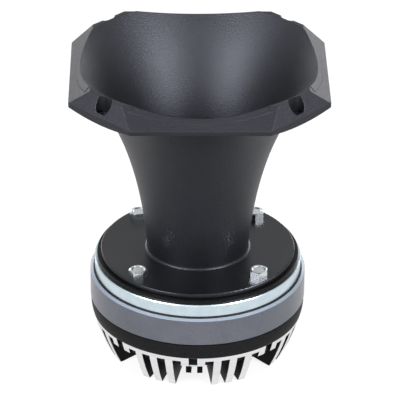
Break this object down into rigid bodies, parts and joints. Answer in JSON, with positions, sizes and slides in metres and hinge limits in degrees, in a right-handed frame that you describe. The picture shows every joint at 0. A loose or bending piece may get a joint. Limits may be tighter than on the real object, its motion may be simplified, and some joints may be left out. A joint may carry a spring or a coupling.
{
  "type": "compression driver",
  "caption": "Horn-loaded compression driver with a cast flared horn, ring magnet and finned rear cover.",
  "frame": {"origin": "on the sound axis, in the plane of the fin tips that the driver stands on", "axes": "+Z along the sound axis from the rear cover to the horn's mouth; X and Y along the sides of the mouth flange; the terminals are on the +Y side"},
  "size_m": [0.1524, 0.1524, 0.1938],
  "materials": {
    "horn_coat": "matt black powder coat",
    "zinc_plated": "bright zinc plate",
    "black_plate": "satin black",
    "ferrite": "ground ferrite",
    "cover_casting": "black cast with turned bright fins",
    "dark_steel": "machined steel",
    "copper": "bare copper",
    "seal": "black rubber",
    "dome_metal": "formed metal foil",
    "film": "amber film",
    "plug_plastic": "black moulded plastic",
    "felt": "grey felt",
    "terminal_metal": "plated brass",
    "red_plastic": "red moulded plastic",
    "black_plastic": "black moulded plastic"
  },
  "bodies": {
    "root": {"rear_cover": "cover_casting", "cover_screws": "zinc_plated", "rear_gasket": "seal", "damping_pad": "felt", "rear_plate": "dark_steel", "magnet": "ferrite", "front_plate": "zinc_plated", "pole_piece": "dark_steel", "pole_cap": "copper", "phase_plug": "plug_plastic", "diaphragm_dome": "dome_metal", "diaphragm_surround": "film", "coil_former": "film", "voice_coil": "copper", "diaphragm_ring": "plug_plastic", "diaphragm_screws": "zinc_plated", "locating_pins": "dark_steel", "terminal_block": "plug_plastic", "terminal_post_positive": "terminal_metal", "terminal_post_negative": "terminal_metal", "terminal_knob_red": "red_plastic", "terminal_knob_black": "black_plastic", "lead_positive": "terminal_metal", "lead_negative": "terminal_metal", "cover_plate": "black_plate", "horn_gasket": "seal", "horn": "horn_coat", "horn_bolts": "zinc_plated"}
  },
  "joints": []
}
